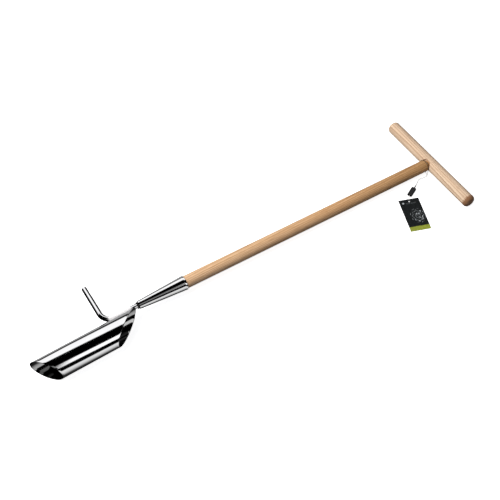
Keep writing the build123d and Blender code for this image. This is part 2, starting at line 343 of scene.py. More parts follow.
def ash(name, along, across, up, tones, toning=None, end=None):
    """Ash whose fibres run along one axis.

    tones are its dark streak, middle and light. toning is (low, high, stops): extra colour along X.
    end is (place, width, shade): the wood takes the shade below that place along the fibres, as painted
    shade.
    """
    material, tree, shader = finish_for(name, {"Specular IOR Level": 0.35})
    axes = split(add(tree, "ShaderNodeTexCoord").outputs["Object"])
    # Rings: distance from a pith line outside the piece, pulled about by slow noise along the fibre
    stretch = tuple(0.06 if axis == along else 1.0 for axis in "XYZ")
    slow = noise(object_place(tree, stretch), 24.0, 2.0, 0.5)
    radius = distance(plus(axes[across], PITH_ACROSS), plus(axes[up], PITH_UP))
    pulled = plus(radius, times(slow, RING_PULL))
    ring = calc("FRACT", times(pulled, RINGS_PER_METRE))
    late = ramp(ring, [(0.0, 0.0), (0.55, 0.15), (0.86, 0.85), (0.93, 1.0), (1.0, 0.0)])
    # Pores: very long thin streaks over soft fibres
    thin = tuple(0.018 if axis == along else 1.0 for axis in "XYZ")
    pores = noise(object_place(tree, thin), 1500.0, 3.0, 0.62)
    fibres = noise(object_place(tree, thin), 420.0, 4.0, 0.6)
    streak = ramp(pores, [(0.36, 1.0), (0.48, 0.0)])
    dark, middle, light = tones
    ground = ramp(fibres, [(0.3, middle), (0.68, light)])
    ringed = mix(times(late, LATE_SHARE), ground, dark)
    colour = mix(times(streak, PORE_SHARE), ringed, dark)
    if toning:
        low, high, stops = toning
        span = {"Value": axes["X"], "From Min": low, "From Max": high}
        place = first_of(tree, "ShaderNodeMapRange", span)
        drift = plus(place, times(minus(slow, 0.5), DRIFT))
        colour = mix(1.0, colour, ramp(drift, stops), "MULTIPLY")
    # Painted shade: below the end place the wood takes a dark brown, the shade on the grip's end over its
    # darker end grain
    if end:
        place, width, shade = end
        ragged = plus(axes[along], times(minus(fibres, 0.5), RAGGED))
        painted_end_shade = ratio(minus(place, ragged), width)
        colour = mix(painted_end_shade, colour, shade)
    height = minus(fibres, times(streak, 0.8))
    dress(shader, colour, ramp(fibres, [(0.3, 0.58), (0.7, 0.42)]), height, 0.00006, 0.5)
    return material


shaft_low, shaft_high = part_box("shaft")
SHAFT_TONING = [
    (0.0, (1.15, 1.12, 1.08)),
    (0.3, (1.12, 1.06, 0.95)),
    (0.65, (1.04, 0.9, 0.7)),
    (1.0, (0.8, 0.66, 0.44)),
]
shaft_ash = ash(
    "shaft ash", "X", "Y", "Z",
    ((0.36, 0.19, 0.09), (0.62, 0.405, 0.235), (0.76, 0.545, 0.37)),
    toning=(shaft_low.x, shaft_high.x, SHAFT_TONING),
)
grip_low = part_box("t_grip")[0]
# The grip's end towards -Y gets painted shade over its darker end grain
grip_ash = ash(
    "grip ash", "Y", "X", "Z",
    ((0.36, 0.2, 0.11), (0.82, 0.58, 0.39), (0.98, 0.76, 0.55)),
    end=(grip_low.y + 13 * MM, 5 * MM, (0.3, 0.15, 0.075)),
)
dowel_ash = ash("dowel ash", "Z", "X", "Y", ((0.35, 0.2, 0.1), (0.5, 0.32, 0.18), (0.58, 0.4, 0.25)))
print("ash finishes for shaft, grip and dowel")

# %% [markdown]
# ## Tag finishes
# The tag is three plain things: black moulded plastic, thin twisted string, and a coated card.

# %% Plastic and string
seal_finish = mottled(
    "seal plastic", {"Specular IOR Level": 0.2}, (2600.0, 3.0, 0.6),
    [(0.3, (0.003, 0.003, 0.004)), (0.7, (0.01, 0.01, 0.011))],
    [(0.3, 0.3), (0.7, 0.46)], (0.00003, 0.4),
)


def twine(name, dark, light):
    tones = [(0.3, dark), (0.7, light)]
    roughs = [(0.3, 0.95), (0.7, 0.75)]
    return mottled(name, {"Sheen Weight": 0.3}, (3800.0, 4.0, 0.7), tones, roughs, (0.00004, 0.6))


loop_finish = twine("loop twine", (0.005, 0.005, 0.006), (0.035, 0.032, 0.036))
card_twine = twine("card twine", (0.5, 0.48, 0.45), (0.85, 0.84, 0.8))
print("finishes", seal_finish.name, loop_finish.name, card_twine.name)

# %% [markdown]
# ## Putting a mesh in the scene
# Every finished piece is made along its own axes, carried to its place, given outward normals and smooth
# faces with sharp edges where two faces meet at more than 35 degrees, and then set to ride on its body.

# %% Piece helpers
SHARP = radians(35)


def finished(name, bm, place, material, body, nodes):
    """Makes the piece from a bmesh and stands it in for the CAD nodes."""
    bmesh.ops.remove_doubles(bm, verts=bm.verts, dist=1e-7)
    bm.transform(place)
    bmesh.ops.recalc_face_normals(bm, faces=bm.faces)
    for face in bm.faces:
        face.smooth = True
    for edge in bm.edges:
        edge.smooth = len(edge.link_faces) == 2 and edge.calc_face_angle(0.0) < SHARP
    mesh = bpy.data.meshes.new(name)
    bm.to_mesh(mesh)
    bm.free()
    mesh.materials.append(material)
    piece = linked(name, mesh)
    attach(piece, body)
    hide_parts(*nodes)
    print(name, len(mesh.polygons), "faces")
    return piece


def skin(bm, rings):
    """Quads between rings of equal length, each ring a closed loop of vertices."""
    for first, second in zip(rings, rings[1:]):
        count = len(first)
        for i in range(count):
            j = (i + 1) % count
            bm.faces.new((first[i], first[j], second[j], second[i]))


def turned(profile, sides):
    """A turned solid about u from its profile, a list of (station, radius); end points have radius 0."""
    bm = bmesh.new()
    rings = []
    for station, radius in profile[1:-1]:
        angles = [2 * pi * k / sides for k in range(sides)]
        rings.append([bm.verts.new((station, radius * cos(a), radius * sin(a))) for a in angles])
    skin(bm, rings)
    for (station, _), ring in ((profile[0], rings[0]), (profile[-1], rings[-1])):
        centre = bm.verts.new((station, 0, 0))
        for i in range(sides):
            bm.faces.new((centre, ring[i], ring[(i + 1) % sides]))
    return bm


def arc(centre, radius, start, end, steps):
    """Points of an arc in the profile's plane, angles in degrees from the u axis."""
    angles = [radians(start + (end - start) * k / steps) for k in range(steps + 1)]
    return [(centre[0] + radius * cos(a), centre[1] + radius * sin(a)) for a in angles]


def stretch(start, end, steps):
    """Evenly spaced profile points from start to just before end."""
    return [
        (start[0] + (end[0] - start[0]) * k / steps, start[1] + (end[1] - start[1]) * k / steps)
        for k in range(steps)
    ]


# %% [markdown]
# A Geometry Nodes tree makes its mesh when it is evaluated, and the pieces need plain meshes. So
# the tree goes on a base object, is evaluated once, and only the result is kept.

# %% Geometry Nodes helpers
def new_tree(name, sizes):
    """A geometry tree with named inputs; returns the tree and a dict of its input sockets."""
    tree = bpy.data.node_groups.new(name, "GeometryNodeTree")
    new_socket = tree.interface.new_socket
    new_socket("Geometry", in_out="INPUT", socket_type="NodeSocketGeometry")
    kinds = {int: "NodeSocketInt", float: "NodeSocketFloat"}
    for label, default in sizes.items():
        socket = new_socket(label, in_out="INPUT", socket_type=kinds[type(default)])
        socket.default_value = default
    new_socket("Geometry", in_out="OUTPUT", socket_type="NodeSocketGeometry")
    return tree, {s.name: s for s in add(tree, "NodeGroupInput").outputs if s.name}


def close_tree(tree, geometry, material):
    """Ends a tree in Realize Instances and Set Material."""
    realized = first_of(tree, "GeometryNodeRealizeInstances", [geometry])
    painted = first_of(tree, "GeometryNodeSetMaterial", {"Geometry": realized, "Material": material})
    add(tree, "NodeGroupOutput", [painted])


def taken(thing):
    """A plain mesh of what an object's curve or modifiers make; the object itself then goes."""
    graph = bpy.context.evaluated_depsgraph_get()
    mesh = bpy.data.meshes.new_from_object(thing.evaluated_get(graph))
    bpy.data.objects.remove(thing)
    return mesh


def bmesh_of(mesh):
    """A bmesh of a mesh; the mesh itself then goes."""
    bm = bmesh.new()
    bm.from_mesh(mesh)
    bpy.data.meshes.remove(mesh)
    return bm


def grown(tree, base_mesh, values):
    """The tree's result on a base mesh, as a plain bmesh."""
    base = linked("base", base_mesh)
    modifier = base.modifiers.new("grow", "NODES")
    modifier.node_group = tree
    for item in tree.interface.items_tree:
        if item.in_out == "INPUT" and item.name in values:
            modifier[item.identifier] = values[item.name]
    return bmesh_of(taken(base))


def line_mesh(points):
    """A mesh of edges only, from each point to the next."""
    mesh = bpy.data.meshes.new("line")
    mesh.from_pydata([tuple(p) for p in points], [(i, i + 1) for i in range(len(points) - 1)], [])
    return mesh


# %% [markdown]
# ## The tag's two strings
# Both strings are thin twisted cord. Each follows one smooth NURBS line with the same points as the CAD
# route. The line is read back as points, and a Geometry Nodes tree sweeps a three-lobed section along
# them while it turns, which is how three plies lie in a real twine.

# %% String routes
STRING_R = 0.45 * MM
STEM_TIP = 23 * MM
STEM_HEIGHT = 2.3 * MM
STRAND = 0.6 * MM
FLOOR_Z = 0.5 * MM
SEAL_CENTRE = Vector((433.657 * MM, -41.8 * MM, 0))
SEAL_ANGLE = radians(26.8)
seal_u = Vector((cos(SEAL_ANGLE), sin(SEAL_ANGLE), 0))
seal_v = Vector((-sin(SEAL_ANGLE), cos(SEAL_ANGLE), 0))
up = Vector((0, 0, 1))
loop_centre = Vector(turn_joint["pos_m"])
ring = loop_centre.z - FLOOR_Z
half_side = ring * tan(radians(22.5))


def by_stem(side):
    return SEAL_CENTRE + seal_u * STEM_TIP + seal_v * side + up * STEM_HEIGHT


def by_loop(along, across, height):
    """A point by its distance along X from the loop, its Y and its height, in millimetres."""
    return Vector((loop_centre.x + along * MM, across * MM, height * MM))


def about_shaft(along, across, rise):
    """A point on the taut turn round the shaft, across and rise measured from the shaft's axis."""
    return Vector((loop_centre.x + along * MM, across, loop_centre.z + rise))


loop_route = [
    by_stem(STRAND),
    by_loop(-40.0, -25.6, 0.7),
    by_loop(-32.5, -19.2, 0.5),
    by_loop(-22.5, -18.0, 0.5),
    by_loop(-11.5, -19.8, 0.5),
    by_loop(-3.0, -18.6, 0.5),
    by_loop(0.9, -11.5, 0.5),
    by_loop(-0.2, -2.5, 0.5),
    about_shaft(0.2, half_side, -ring),
    about_shaft(0.2, ring, -half_side),
    about_shaft(0.0, ring, half_side),
    about_shaft(-0.1, half_side, ring),
    about_shaft(-0.2, -half_side, ring),
    about_shaft(-0.3, -ring, half_side),
    by_loop(-0.7, -16.2, 10.5),
    by_loop(-1.9, -19.4, 2.6),
    by_loop(-7.5, -22.3, 0.55),
    by_loop(-17.0, -21.6, 0.5),
    by_loop(-28.0, -19.9, 0.5),
    by_loop(-37.0, -24.9, 0.6),
    by_stem(-STRAND),
]

CARD_CENTRE = Vector((396.457 * MM, -100 * MM, 0.725 * MM))
CARD_ANGLE = radians(-19.5)
CARD_WIDTH, CARD_LENGTH, CARD_THICK = 50 * MM, 95 * MM, 0.5 * MM
CARD_LIFT = 1.45 * MM
HOLE_INSET = 7 * MM
card_u = Vector((cos(CARD_ANGLE), sin(CARD_ANGLE), 0))
card_flat_v = Vector((-sin(CARD_ANGLE), cos(CARD_ANGLE), 0))
card_lean = asin(CARD_LIFT / CARD_LENGTH)
card_w = up * cos(card_lean) - card_flat_v * sin(card_lean)
card_v = card_w.cross(card_u)
hole_v = CARD_LENGTH / 2 - HOLE_INSET
hole = CARD_CENTRE + card_v * hole_v
pivot = Vector(fold_joint["pos_m"])
reach = (hole - pivot).xy.length
towards = Vector((hole.x - pivot.x, hole.y - pivot.y, 0)) / reach


def by_hole(along, height):
    """A point above the line from the seal's notch to the card's hole, by its distance past the hole."""
    return Vector((pivot.x, pivot.y, height * MM)) + towards * (reach + along * MM)


reach_mm = reach / MM
tag_route = [
    by_hole(-reach_mm, 2.95),
    by_hole(6.5 - reach_mm, 3.25),
    by_hole(-6.3, 3.0),
    by_hole(-2.1, 2.66),
    by_hole(0.2, 2.58),
    by_hole(0.8, 1.54),
    by_hole(0.2, 0.5),
    by_hole(-2.1, 0.48),
    by_hole(-6.3, 0.5),
    by_hole(6.5 - reach_mm, 0.85),
    by_hole(-reach_mm, 1.25),
]


# %% Smooth line through a route
def smooth_line(route):
    """Points along one NURBS spline that has the route's points as its control points."""
    curve = bpy.data.curves.new("route", "CURVE")
    curve.dimensions = "3D"
    curve.resolution_u = 10
    spline = curve.splines.new("NURBS")
    spline.points.add(len(route) - 1)
    for point, place in zip(spline.points, route):
        point.co = (*place, 1.0)
    spline.order_u = 3
    spline.use_endpoint_u = True
    mesh = taken(linked("route", curve))
    return [v.co.copy() for v in mesh.vertices]


# %% Twisted string tree
def swept(tree, path, section):
    """A closed solid from a section swept along a path."""
    inputs = {"Curve": path, "Profile Curve": section, "Fill Caps": True}
    return first_of(tree, "GeometryNodeCurveToMesh", inputs)


def twisted_tree(material):
    sizes = {"Radius": STRING_R, "Pitch": 2.6 * MM, "Plies": 3, "Step": 0.4 * MM}
    tree, size = new_tree("twisted string", sizes)
    path = first_of(tree, "GeometryNodeMeshToCurve", [size["Geometry"]])
    spacing = {"Curve": path, "Length": size["Step"]}
    even = first_of(tree, "GeometryNodeResampleCurve", spacing, mode="LENGTH")
    along = add(tree, "GeometryNodeSplineParameter").outputs["Length"]
    turn = times(calc("DIVIDE", along, size["Pitch"]), 2 * pi)
    twisted = first_of(tree, "GeometryNodeSetCurveTilt", {"Curve": even, "Tilt": turn})
    # Section: a circle whose radius swells once for each ply
    section = {"Resolution": 15, "Radius": size["Radius"]}
    circle = first_of(tree, "GeometryNodeCurvePrimitiveCircle", section)
    where = split(first_of(tree, "GeometryNodeInputPosition"))
    angle = calc("ARCTAN2", where["Y"], where["X"])
    half_plies = calc("DIVIDE", size["Plies"], 2.0)
    lobe = calc("ABSOLUTE", calc("COSINE", times(angle, half_plies)))
    swell = plus(0.7, times(lobe, 0.3))
    moved = {"Geometry": circle, "Position": scaled(first_of(tree, "GeometryNodeInputPosition"), swell)}
    lobed = first_of(tree, "GeometryNodeSetPosition", moved)
    close_tree(tree, swept(tree, twisted, lobed), material)
    return tree


def twisted_string(name, route, material, body, node):
    points = smooth_line(route)
    bm = grown(twisted_tree(material), line_mesh(points), {"Radius": STRING_R})
    piece = finished(name, bm, Matrix.Identity(4), material, body, [node])
    print(name, "length", round(sum((b - a).length for a, b in zip(points, points[1:])), 4))
    return piece, points


loop_string, loop_points = twisted_string(
    "loop_twine", loop_route, loop_finish, "tag_line", "string_loop")
tag_string, tag_points = twisted_string(
    "card_twine", tag_route, card_twine, "tag", "tag_string")

# %% [markdown]
# ## Coring tube
# The tube's shape follows a rule: each point of a wall is as far along as its height on the slanted cut
# says. Every wall starts as an open cylinder; its angle is kept, and its height from 0 to 1 is read as the
# way from one edge of the wall to the other.

# %% Slanted tube tree
TUBE_SIZES = {
    "Radius": TUBE_R,
    "Wall": TUBE_WALL,
    "Lower cut": -220.4 * MM,
    "Lower lean": 22.6 * MM,
    "Upper cut": -33.1 * MM,
    "Upper lean": 37.15 * MM,
    "Sides": 224,
}
WALL_STEPS = 40
RIM_SHADE_SHARE = 0.6
WELD_DISTANCE = 0.01 * MM


def cut_rule(tree, size, end, side):
    """The station of a slanted cut at a distance side out from the tube's axis."""
    share = calc("DIVIDE", side, size["Radius"])
    sign = -1.0 if end == "Lower" else 1.0
    lean = times(times(share, size[end + " lean"]), sign)
    return plus(size[end + " cut"], lean)


def wall_between(tree, size, start, end, steps, inside):
    """One wall of the tube, between two edges. An edge is (which cut, radius)."""
    inputs = {"Vertices": size["Sides"], "Side Segments": steps, "Radius": 1.0, "Depth": 1.0}
    shell = add(tree, "GeometryNodeMeshCylinder", inputs, fill_type="NONE").outputs["Mesh"]
    where = split(first_of(tree, "GeometryNodeInputPosition"))
    way = plus(where["Z"], 0.5)
    radius = plus(start[1], times(way, minus(end[1], start[1])))
    v = times(where["X"], radius)
    w = times(where["Y"], radius)
    first = cut_rule(tree, size, start[0], v)
    second = cut_rule(tree, size, end[0], v)
    u = plus(first, times(way, minus(second, first)))
    place = first_of(tree, "ShaderNodeCombineXYZ", [u, v, w])
    moved = first_of(tree, "GeometryNodeSetPosition", {"Geometry": shell, "Position": place})
    # The wall's share of painted shade, which darkens the tube steel's colour
    inputs = {"Geometry": moved, "Name": "inside"}
    stored = add(tree, "GeometryNodeStoreNamedAttribute", inputs, data_type="FLOAT", domain="FACE")
    value = next(s for s in stored.inputs if s.name == "Value" and s.type == "VALUE")
    value.default_value = inside
    return stored.outputs[0]


def slanted_tube(material):
    tree, size = new_tree("slanted tube", TUBE_SIZES)
    outer = size["Radius"]
    inner = minus(size["Radius"], size["Wall"])
    # Each wall carries its share of painted shade, stored as inside: the outer wall 0, the inner wall 1, the
    # rims in between
    walls = [
        wall_between(tree, size, ("Lower", outer), ("Upper", outer), WALL_STEPS, 0.0),
        wall_between(tree, size, ("Lower", inner), ("Upper", inner), WALL_STEPS, 1.0),
        wall_between(tree, size, ("Lower", inner), ("Lower", outer), 1, RIM_SHADE_SHARE),
        wall_between(tree, size, ("Upper", inner), ("Upper", outer), 1, RIM_SHADE_SHARE),
    ]
    joined = add(tree, "GeometryNodeJoinGeometry")
    for wall in walls:
        tree.links.new(wall, joined.inputs[0])
    inputs = {"Geometry": joined.outputs[0], "Distance": WELD_DISTANCE}
    welded = first_of(tree, "GeometryNodeMergeByDistance", inputs)
    close_tree(tree, welded, material)
    return tree


def eased(bm, width, steps, least):
    """Rounds the edges whose faces meet at more than least."""
    edges = [e for e in bm.edges if len(e.link_faces) == 2 and e.calc_face_angle(0.0) > least]
    bmesh.ops.bevel(
        bm, geom=edges, offset=width, segments=steps, profile=0.5, affect="EDGES", clamp_overlap=True)


tube_bm = grown(slanted_tube(tube_steel), line_mesh([(0, 0, 0), (0, 0, 1)]), TUBE_SIZES)
bmesh.ops.recalc_face_normals(tube_bm, faces=tube_bm.faces)
eased(tube_bm, 0.35 * MM, 3, radians(30))
finished("tube", tube_bm, head_axes, tube_steel, "tool", ["coring_tube"])

# %% [markdown]
# ## Foot rod
# One round bar: down the shaft's axis, along the tube's back, and out sideways as the foot peg. Its path
# is four points with a rounded corner at the bend. The tree rounds the corners, sweeps a circle along the
# path and closes its ends, and the edge round each end is then eased.

# %% Bent bar tree
ROD_TOP = 24 * MM
PEG_STATION = -69.1 * MM
PEG_REACH = 100 * MM
PEG_BEND = 24 * MM
ease_station = -tube_offset * tan(TUBE_TILT / 2)
peg_drop = (PEG_STATION - ease_station) * tan(TUBE_TILT)


def bent_bar(material):
    tree, size = new_tree("bent bar", {"Radius": ROD_R, "Bend": PEG_BEND, "Bend steps": 40, "Sides": 64})
    path = first_of(tree, "GeometryNodeMeshToCurve", [size["Geometry"]])
    corners = {"Curve": path, "Radius": size["Bend"], "Limit Radius": True}
    rounded = add(tree, "GeometryNodeFilletCurve", corners, mode="POLY")
    tree.links.new(size["Bend steps"], rounded.inputs["Count"])
    section = {"Resolution": size["Sides"], "Radius": size["Radius"]}
    circle = first_of(tree, "GeometryNodeCurvePrimitiveCircle", section)
    close_tree(tree, swept(tree, rounded.outputs[0], circle), material)
    return tree


rod_path = [(ROD_TOP, 0, 0), (ease_station, 0, 0), (PEG_STATION, peg_drop, 0), (PEG_STATION, PEG_REACH, 0)]
rod_bm = grown(bent_bar(rod_finish), line_mesh(rod_path), {"Radius": ROD_R})
bmesh.ops.recalc_face_normals(rod_bm, faces=rod_bm.faces)
eased(rod_bm, 1.4 * MM, 6, radians(60))
finished("rod", rod_bm, tool_axes, rod_finish, "tool", ["foot_rod"])

# %% [markdown]
# ## Socket
# A tapered steel ferrule. It is turned about the shaft's axis: a rounded neck at the rod, a straight cone,
# and a thin rolled lip where the wood goes in. The inside is open down to its floor.

# %% Socket
SOCKET_START, SOCKET_END, SOCKET_FLOOR = 11 * MM, 126 * MM, 30 * MM
SOCKET_NECK_R = 9.35 * MM
SHAFT_R = 14.5 * MM
SOCKET_WALL = 2 * MM
mouth_r = SHAFT_R + SOCKET_WALL
taper = (mouth_r - SOCKET_NECK_R) / (SOCKET_END - SOCKET_START)


def cone_r(station):
    """The cone's outer radius at a station."""
    return SOCKET_NECK_R + taper * (station - SOCKET_START)


floor_r = cone_r(SOCKET_FLOOR) - SOCKET_WALL
NECK_ROUND = 2.5 * MM
CONE_START = 16 * MM
LIP, LIP_EASE = 0.9 * MM, 0.1 * MM
lip_station = SOCKET_END - LIP
neck_centre = (SOCKET_START + NECK_ROUND, cone_r(SOCKET_START) - NECK_ROUND)
socket_profile = [(SOCKET_START, 0), (SOCKET_START, ROD_R * 0.9)]
socket_profile += arc(neck_centre, NECK_ROUND, 180, 94, 10)
socket_profile += stretch((CONE_START, cone_r(CONE_START)), (lip_station, mouth_r - 0.02 * MM), 30)
socket_profile += arc((lip_station, mouth_r - LIP), LIP, 88, 2, 8)
socket_profile += [(SOCKET_END, SHAFT_R + LIP_EASE), (SOCKET_END - LIP_EASE, SHAFT_R)]
socket_profile += [(SOCKET_FLOOR, floor_r), (SOCKET_FLOOR, 0)]
socket_bm = turned(socket_profile, 160)
finished("socket_cone", socket_bm, tool_axes, steel_along, "tool", ["socket"])

# %% [markdown]
# ## Weld beads
# A weld bead is a row of overlapping ripples, each a puddle that froze as the torch moved on. The tree
# puts one flattened ball on each step of a path, with a small seeded change of size, so no two are alike.

# %% Ripple tree
def ripples(material):
    sizes = {"Step": 1.5 * MM, "Length": 1.5 * MM, "Width": 1.9 * MM, "Seed": 7}
    tree, size = new_tree("weld ripples", sizes)
    path = first_of(tree, "GeometryNodeMeshToCurve", [size["Geometry"]])
    spots = add(tree, "GeometryNodeCurveToPoints", {"Curve": path, "Length": size["Step"]}, mode="LENGTH")
    ball = add(tree, "GeometryNodeMeshUVSphere", {"Segments": 12, "Rings": 8, "Radius": 1.0}).outputs["Mesh"]
    # Inputs 2 and 3 are the least and the most of a plain number, and output 1 is that number
    limits = {"Seed": size["Seed"], 2: 0.85, 3: 1.1}
    change = add(tree, "FunctionNodeRandomValue", limits, data_type="FLOAT").outputs[1]
    width = times(size["Width"], change)
    scale = first_of(tree, "ShaderNodeCombineXYZ", [width, width, size["Length"]])
    inputs = {"Points": spots.outputs["Points"], "Rotation": spots.outputs["Rotation"]}
    placed = add(tree, "GeometryNodeInstanceOnPoints", inputs | {"Instance": ball, "Scale": scale})
    close_tree(tree, placed.outputs[0], material)
    return tree


BEAD_WIDTH = 1.6 * MM


def bead(name, points, place):
    bm = grown(ripples(shaded_weld_finish), line_mesh(points), {"Width": BEAD_WIDTH})
    finished("ripples_" + name, bm, place, shaded_weld_finish, "tool", [name])


BEAD_START, BEAD_END, BEAD_SIDE = -51 * MM, 1 * MM, 3.0 * MM
bead_v = TUBE_R + 0.9 * MM
for side, name in ((BEAD_SIDE, "rod_weld_upper"), (-BEAD_SIDE, "rod_weld_lower")):
    bead_line = [(BEAD_START, bead_v, side), (BEAD_END, bead_v, side)]
    bead(name, bead_line, head_axes)

NECK_STEPS = 36
neck_station = SOCKET_START - 1.4 * MM
neck_r = ROD_R + 0.3 * MM
neck_angles = [2 * pi * k / NECK_STEPS for k in range(NECK_STEPS + 1)]
neck_ring = [(neck_station, neck_r * cos(a), neck_r * sin(a)) for a in neck_angles]
bead("neck_weld", neck_ring, tool_axes)

# %% [markdown]
# ## Shaft, grip and dowel
# The shaft and the grip are turned wood. The grip is a round bar with well-rounded ends. A round recess with
# a flat floor is cut in its side, a little wider and deeper than the shaft's shoulder, so a dark wedge of a
# gap shows there, and the mortise for the tenon goes on from it.

# %% Shaft
SHOULDER, SHOULDER_BEVEL, SHOULDER_R = 799.5 * MM, 4.5 * MM, 13 * MM
TENON_R, TENON_LENGTH = 10 * MM, 20 * MM
start_r = floor_r + taper * MM
bevel_start = SHOULDER - SHOULDER_BEVEL
tenon_end = SHOULDER + TENON_LENGTH
shaft_profile = [(SOCKET_FLOOR + MM, 0), (SOCKET_FLOOR + MM, start_r)]
shaft_profile += [(SOCKET_END, SHAFT_R - 0.02 * MM)]
shaft_profile += stretch((SOCKET_END + 2 * MM, SHAFT_R), (bevel_start - MM, SHAFT_R), 60)
shaft_profile += [(bevel_start - 0.8 * MM, SHAFT_R), (bevel_start + 0.5 * MM, SHAFT_R - 0.12 * MM)]
shaft_profile += [(SHOULDER - 0.5 * MM, SHOULDER_R + 0.12 * MM), (SHOULDER, SHOULDER_R - 0.3 * MM)]
shaft_profile += [(SHOULDER, TENON_R), (tenon_end - MM, TENON_R), (tenon_end, TENON_R - MM), (tenon_end, 0)]
finished("shaft_pole", turned(shaft_profile, 128), tool_axes, shaft_ash, "tool", ["shaft"])

# %% Grip
GRIP_STATION, GRIP_R, GRIP_LENGTH, GRIP_ROUND = 813.7 * MM, 15.5 * MM, 300 * MM, 8 * MM
SEAT_R, SEAT_FLOOR = 14.7 * MM, 806 * MM
half = GRIP_LENGTH / 2
straight = half - GRIP_ROUND
flat_r = GRIP_R - GRIP_ROUND
grip_profile = [(-half, 0), (-half, flat_r * 0.5)]
grip_profile += arc((-straight, flat_r), GRIP_ROUND, 180, 92, 14)
grip_profile += stretch((-straight, GRIP_R), (straight, GRIP_R), 50)
grip_profile += arc((straight, flat_r), GRIP_ROUND, 90, 0, 14)
grip_profile += [(half, flat_r * 0.5), (half, 0)]
grip_axes = axes_matrix(tool_origin + u_dir * GRIP_STATION, v_dir, -u_dir, w_dir)


def holding(name, bm):
    """An object that holds the bmesh, with its normals outwards."""
    bmesh.ops.recalc_face_normals(bm, faces=bm.faces)
    mesh = bpy.data.meshes.new(name)
    bm.to_mesh(mesh)
    bm.free()
    return linked(name, mesh)


def round_cutter(name, start, end, radius):
    """A plain cylinder along the shaft's axis, used once to cut and then thrown away."""
    bm = turned([(start, 0), (start, radius), (end, radius), (end, 0)], 96)
    bm.transform(tool_axes)
    return holding(name, bm)


def cut_from(bm, cutters):
    """The bmesh less each cutter."""
    solid = holding("cut", bm)
    for cutter in cutters:
        modifier = solid.modifiers.new("cut", "BOOLEAN")
        modifier.operation = "DIFFERENCE"
        modifier.solver = "EXACT"
        modifier.object = cutter
    bm = bmesh_of(taken(solid))
    for cutter in cutters:
        bpy.data.objects.remove(cutter)
    return bm


grip_bm = turned(grip_profile, 128)
grip_bm.transform(grip_axes)
seat = round_cutter("seat", SEAT_FLOOR - GRIP_R, SEAT_FLOOR, SEAT_R)
mortise = round_cutter("mortise", SHOULDER - MM, tenon_end + MM, TENON_R)
grip_bm = cut_from(grip_bm, [seat, mortise])
finished("grip_bar", grip_bm, Matrix.Identity(4), grip_ash, "tool", ["t_grip"])

# %% Dowel and nail
DOWEL_STATION, DOWEL_R, DOWEL_TOP, DOWEL_FACE = 811 * MM, 3 * MM, 9.5 * MM, -15.2 * MM
DOWEL_EASE = 0.4 * MM
NAIL_STATION, NAIL_SEAT = 104 * MM, 15.4 * MM
NAIL_R, NAIL_LENGTH, NAIL_HEAD_R, NAIL_HEAD_H = 1.6 * MM, 22 * MM, 3.6 * MM, 1.6 * MM
NAIL_POINT = 3 * MM
dowel_axes = axes_matrix(tool_origin + u_dir * DOWEL_STATION, w_dir, u_dir, v_dir)
dowel_profile = [(DOWEL_FACE, 0), (DOWEL_FACE, DOWEL_R - DOWEL_EASE), (DOWEL_FACE + DOWEL_EASE, DOWEL_R)]
dowel_profile += [(DOWEL_TOP - DOWEL_EASE, DOWEL_R), (DOWEL_TOP, DOWEL_R - DOWEL_EASE), (DOWEL_TOP, 0)]
finished("dowel", turned(dowel_profile, 40), dowel_axes, dowel_ash, "tool", ["grip_dowel"])

nail_axes = axes_matrix(tool_origin + u_dir * NAIL_STATION - w_dir * NAIL_SEAT, w_dir, u_dir, v_dir)
head_angles = [radians(a) for a in range(15, 90, 15)]
nail_profile = [(-NAIL_HEAD_H, 0)]
nail_profile += [(-NAIL_HEAD_H * cos(a), NAIL_HEAD_R * sin(a)) for a in head_angles]
nail_profile += [(-0.3 * MM, NAIL_HEAD_R), (0, NAIL_HEAD_R - 0.1 * MM), (0, NAIL_R)]
nail_profile += [(NAIL_LENGTH - NAIL_POINT, NAIL_R), (NAIL_LENGTH, 0)]
finished("nail", turned(nail_profile, 40), nail_axes, steel_along, "tool", ["socket_nail"])

# %% [markdown]
# ## Seal
# The seal is a small moulded block: level rings of a rounded rectangle that draw in at top and bottom, with
# a shallow plain panel in its top. The card's string goes in at a notch in its end, over a thin web.

# %% Rounded block
def rounded_outline(length, width, corner, steps):
    """Points round a rectangle with rounded corners, in the plane of u and v."""
    points = []
    for cu, cv, start in ((1, 1, 0), (-1, 1, 90), (-1, -1, 180), (1, -1, 270)):
        centre = (cu * (length / 2 - corner), cv * (width / 2 - corner))
        for k in range(steps + 1):
            a = radians(start + 90 * k / steps)
            points.append((centre[0] + corner * cos(a), centre[1] + corner * sin(a)))
    return points


def block(length, width, levels, corner, steps):
    """A solid from level rings; levels is a list of (height, inset)."""
    bm = bmesh.new()
    rings = []
    for height, inset in levels:
        radius = max(corner - inset, 0.05 * MM)
        outline = rounded_outline(length - 2 * inset, width - 2 * inset, radius, steps)
        rings.append([bm.verts.new((u, v, height)) for u, v in outline])
    skin(bm, rings)
    bm.faces.new(rings[0])
    bm.faces.new(rings[-1])
    return bm


SEAL_LENGTH, SEAL_WIDTH, SEAL_HEIGHT, SEAL_ROUND = 28 * MM, 12 * MM, 5 * MM, 1.2 * MM
SEAL_CORNER = 2.4 * MM
NOTCH_WIDTH, NOTCH_DEPTH, NOTCH_WEB = 4.4 * MM, 3.6 * MM, 0.25 * MM
seal_axes = axes_matrix(SEAL_CENTRE, seal_u, seal_v, up)
edge = [
    (SEAL_HEIGHT - SEAL_ROUND * (1 - sin(radians(a))), SEAL_ROUND * (1 - cos(radians(a))))
    for a in range(0, 91, 15)
]
panel = [(SEAL_HEIGHT, SEAL_ROUND + 0.7 * MM), (SEAL_HEIGHT - 0.35 * MM, SEAL_ROUND + 0.95 * MM)]
levels = [(0.0, 0.3 * MM), (0.3 * MM, 0.0), *edge, *panel]
seal_bm = block(SEAL_LENGTH, SEAL_WIDTH, levels, SEAL_CORNER, 8)
notch_levels = [(NOTCH_WEB, 0.0), (SEAL_HEIGHT + MM, 0.0)]
